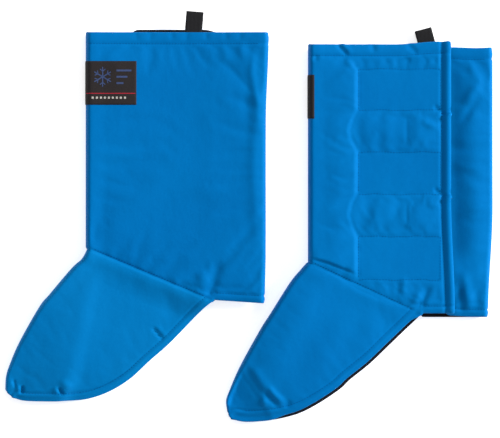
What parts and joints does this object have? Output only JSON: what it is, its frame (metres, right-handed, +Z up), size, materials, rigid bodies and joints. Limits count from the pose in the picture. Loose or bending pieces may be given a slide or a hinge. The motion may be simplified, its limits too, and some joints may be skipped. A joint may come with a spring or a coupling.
{
  "type": "cryogenic gaiters",
  "caption": "Pair of padded lower-leg and shoe covers, lying flat, each with a hook-and-loop closure flap along the inner side and a webbing pull tab.",
  "frame": {"origin": "centre of the pair's box, on the surface the pair lies on", "axes": "+X from the left gaiter to the right gaiter, +Y up the legs, +Z up out of the surface"},
  "size_m": [0.619, 0.5186, 0.0273],
  "materials": {
    "shell": "coated woven nylon",
    "insulation": "non-woven batting",
    "lining": "knitted",
    "tape": "hook and loop",
    "label": "woven",
    "webbing": "woven webbing"
  },
  "bodies": {
    "left_gaiter": {"left_leg_shell": "shell", "left_leg_insulation": "insulation", "left_leg_lining": "lining", "left_leg_top_hem": "shell", "left_leg_heel_hem": "shell", "left_foot_shell": "shell", "left_foot_insulation": "insulation", "left_foot_lining": "lining", "left_foot_hem_outer_side": "shell", "left_foot_hem_toe": "shell", "left_label": "label", "left_loop_tape_top": "tape", "left_loop_tape_middle": "tape", "left_loop_tape_bottom": "tape", "left_instep_strap": "webbing", "left_pull_tab_root": "webbing"},
    "left_flap": {"left_flap_shell": "shell", "left_flap_insulation": "insulation", "left_flap_lining": "lining", "left_flap_hem": "shell", "left_flap_foot_shell": "shell", "left_flap_foot_insulation": "insulation", "left_flap_foot_lining": "lining", "left_flap_foot_hem": "shell", "left_hook_tape_top": "tape", "left_hook_tape_middle": "tape", "left_hook_tape_bottom": "tape"},
    "left_tab": {"left_pull_tab": "webbing"},
    "right_gaiter": {"right_leg_shell": "shell", "right_leg_insulation": "insulation", "right_leg_lining": "lining", "right_leg_top_hem": "shell", "right_leg_heel_hem": "shell", "right_foot_shell": "shell", "right_foot_insulation": "insulation", "right_foot_lining": "lining", "right_foot_hem_outer_side": "shell", "right_foot_hem_toe": "shell", "right_label": "label", "right_loop_tape_top": "tape", "right_loop_tape_middle": "tape", "right_loop_tape_bottom": "tape", "right_instep_strap": "webbing", "right_pull_tab_root": "webbing"},
    "right_flap": {"right_flap_shell": "shell", "right_flap_insulation": "insulation", "right_flap_lining": "lining", "right_flap_hem": "shell", "right_flap_foot_shell": "shell", "right_flap_foot_insulation": "insulation", "right_flap_foot_lining": "lining", "right_flap_foot_hem": "shell", "right_hook_tape_top": "tape", "right_hook_tape_middle": "tape", "right_hook_tape_bottom": "tape"},
    "right_tab": {"right_pull_tab": "webbing"}
  },
  "joints": [
    {"name": "left_gaiter_lift", "type": "slide", "parent": "right_gaiter", "child": "left_gaiter", "axis": [0, 0, 1], "range_m": [0, 0.2]},
    {"name": "right_closure", "type": "hinge", "parent": "right_gaiter", "child": "right_flap", "pos_m": [0.1415, 0.02195, 0.0273], "axis": [0, -1, 0], "range_deg": [0, 150]},
    {"name": "left_closure", "type": "hinge", "parent": "left_gaiter", "child": "left_flap", "pos_m": [-0.1422, 0.0395, 0], "axis": [0, 1, 0], "range_deg": [0, 150]},
    {"name": "right_tab_bend", "type": "hinge", "parent": "right_gaiter", "child": "right_tab", "pos_m": [0.227, 0.22145, 0.0055], "axis": [0.9659, 0.2588, 0], "range_deg": [-15, 75], "stiffness_Nm_per_rad": 0.005},
    {"name": "left_tab_bend", "type": "hinge", "parent": "left_gaiter", "child": "left_tab", "pos_m": [-0.0697, 0.239, 0.0218], "axis": [0.9969, -0.0785, 0], "range_deg": [-60, 75], "stiffness_Nm_per_rad": 0.005}
  ]
}
